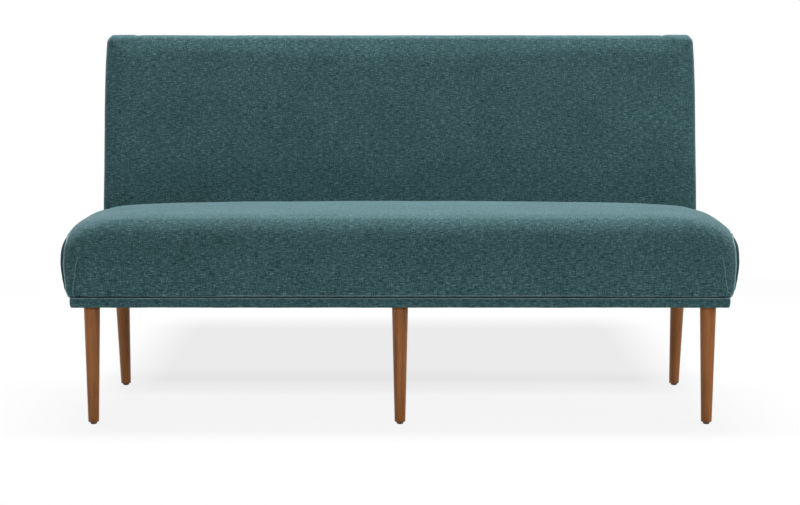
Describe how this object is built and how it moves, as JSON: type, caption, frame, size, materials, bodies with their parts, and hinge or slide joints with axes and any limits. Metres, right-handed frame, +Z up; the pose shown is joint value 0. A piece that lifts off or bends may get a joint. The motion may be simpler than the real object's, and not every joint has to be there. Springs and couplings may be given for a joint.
{
  "type": "upholstered bench",
  "caption": "Upholstered bench with a low reclined back, a thick crowned seat, a fabric band round the base and slim tapered round wooden legs.",
  "frame": {"origin": "on the floor, under the middle of the bench's overall box", "axes": "+X along the seat to the sitter's left, -Y out of the front of the seat, +Z up"},
  "size_m": [1.514, 0.6744, 0.8685],
  "materials": {
    "cover_fabric": "matte",
    "leg_wood": "satin",
    "frame_wood": "matte",
    "glide_plastic": "matte",
    "zinc_steel": "satin",
    "spring_steel": "satin",
    "deck_cloth": "matte",
    "dust_cloth": "matte",
    "webbing": "matte",
    "foam": "matte",
    "wadding": "matte",
    "liner_board": "matte"
  },
  "bodies": {
    "root": {"back_foam": "foam", "back_liner_board": "liner_board", "back_lower_rail_left": "frame_wood", "back_lower_rail_right": "frame_wood", "back_top_rail": "frame_wood", "back_webbing": "webbing", "back_wrap": "wadding", "block_screws": "zinc_steel", "centre_back_post": "frame_wood", "centre_cross_rail": "frame_wood", "dust_cover": "dust_cloth", "dust_cover_staples": "zinc_steel", "frame_dowels": "frame_wood", "front_band": "cover_fabric", "front_centre_block": "frame_wood", "front_centre_glide": "glide_plastic", "front_centre_leg": "leg_wood", "front_left_corner_block": "frame_wood", "front_left_glide": "glide_plastic", "front_left_leg": "leg_wood", "front_rail": "frame_wood", "front_right_corner_block": "frame_wood", "front_right_glide": "glide_plastic", "front_right_leg": "leg_wood", "glide_nails": "zinc_steel", "inside_back_cover": "cover_fabric", "left_back_post": "frame_wood", "left_back_side_panel": "cover_fabric", "left_band": "cover_fabric", "left_end_rail": "frame_wood", "left_seat_end_panel": "cover_fabric", "leg_hanger_bolts": "zinc_steel", "leg_tee_nuts": "zinc_steel", "outside_back_cover": "cover_fabric", "rear_band": "cover_fabric", "rear_centre_block": "frame_wood", "rear_centre_glide": "glide_plastic", "rear_centre_leg": "leg_wood", "rear_left_corner_block": "frame_wood", "rear_left_glide": "glide_plastic", "rear_left_leg": "leg_wood", "rear_rail": "frame_wood", "rear_right_corner_block": "frame_wood", "rear_right_glide": "glide_plastic", "rear_right_leg": "leg_wood", "right_back_post": "frame_wood", "right_back_side_panel": "cover_fabric", "right_band": "cover_fabric", "right_end_rail": "frame_wood", "right_seat_end_panel": "cover_fabric", "seat_cover": "cover_fabric", "seat_deck_cloth": "deck_cloth", "seat_foam": "foam", "seat_springs": "spring_steel", "seat_wrap": "wadding", "spring_clips": "zinc_steel", "spring_tie_wires": "spring_steel", "webbing_staples": "zinc_steel"}
  },
  "joints": []
}
